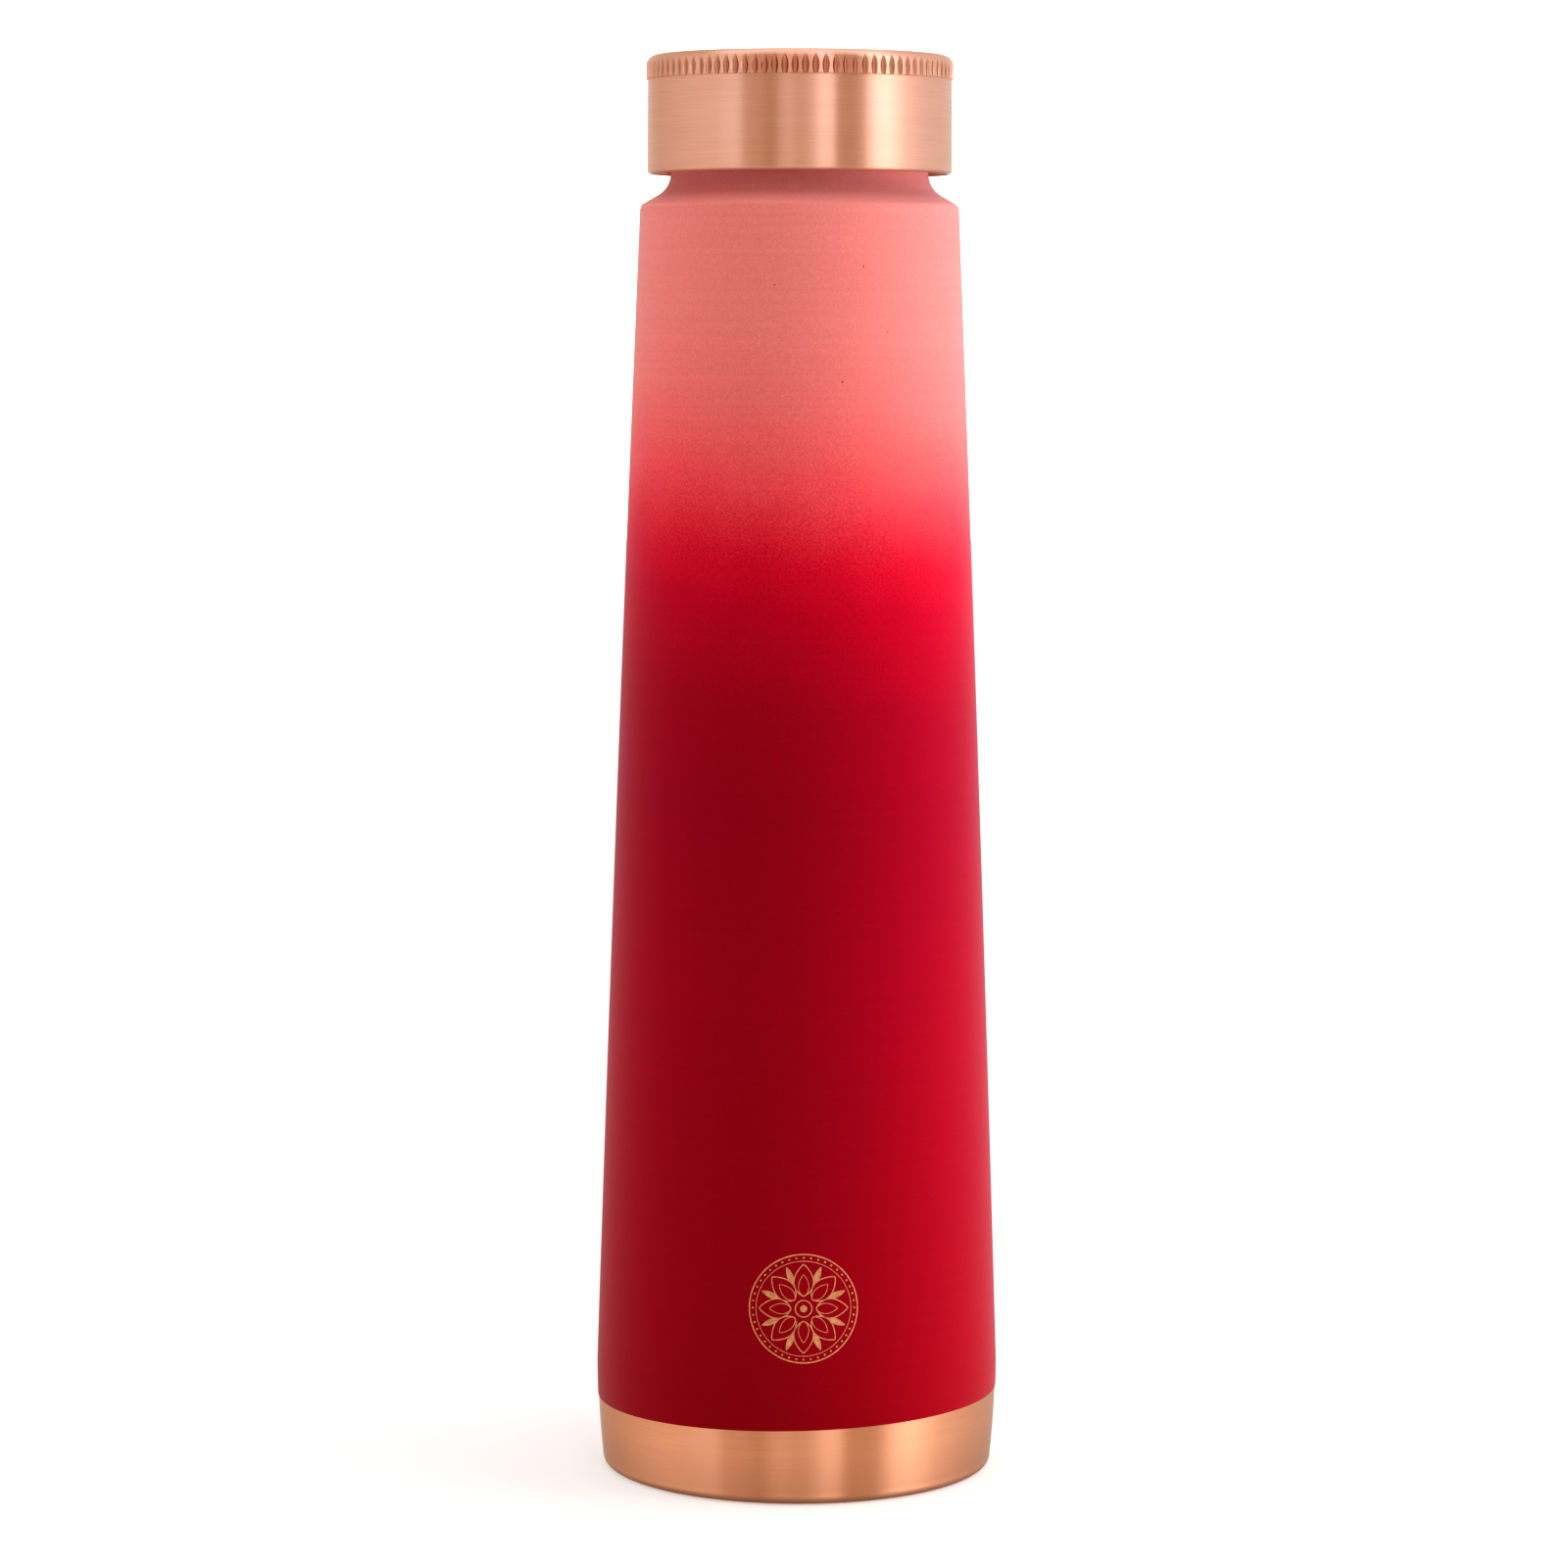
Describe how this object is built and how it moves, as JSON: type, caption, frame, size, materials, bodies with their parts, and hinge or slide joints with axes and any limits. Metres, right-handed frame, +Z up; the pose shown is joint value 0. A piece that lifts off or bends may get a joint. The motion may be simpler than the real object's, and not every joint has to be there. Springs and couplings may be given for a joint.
{
  "type": "water bottle",
  "caption": "Tall tapered metal water bottle with a bare foot band, a sloping shoulder and a fluted screw cap sealed by a soft washer.",
  "frame": {"origin": "centre of the foot, on the surface that the bottle stands on", "axes": "+Z up along the bottle's axis, through the middle of the cap"},
  "size_m": [0.0798, 0.0798, 0.279],
  "materials": {
    "wall_paint": "matt powder coat, red at the foot fading to dusty pink at the shoulder",
    "bare_copper": "copper, finely brushed round the axis",
    "turned_copper": "copper, plain turned",
    "cap_copper": "copper, finely brushed round the axis, cut flutes on the rim",
    "seal_silicone": "soft translucent white silicone"
  },
  "bodies": {
    "bottle": {"body_wall": "wall_paint", "shoulder_neck": "wall_paint", "base_cup": "bare_copper", "neck_thread_ring": "turned_copper"},
    "seal": {"cap_seal": "seal_silicone"},
    "cap": {"cap_shell": "cap_copper", "cap_thread_ring": "turned_copper", "cap_liner_disc": "turned_copper"}
  },
  "joints": [
    {"name": "cap_rise", "type": "slide", "parent": "bottle", "child": "seal", "axis": [0, 0, 1], "range_m": [0, 0.0211]},
    {"name": "cap_unscrew", "type": "hinge", "parent": "seal", "child": "cap", "pos_m": [0, 0, 0.256], "axis": [0, 0, 1], "range_deg": [0, 2160]}
  ],
  "couplings": [
    {"joint": "cap_rise", "follows": "cap_unscrew", "m_per_rad": 0.00055704}
  ]
}
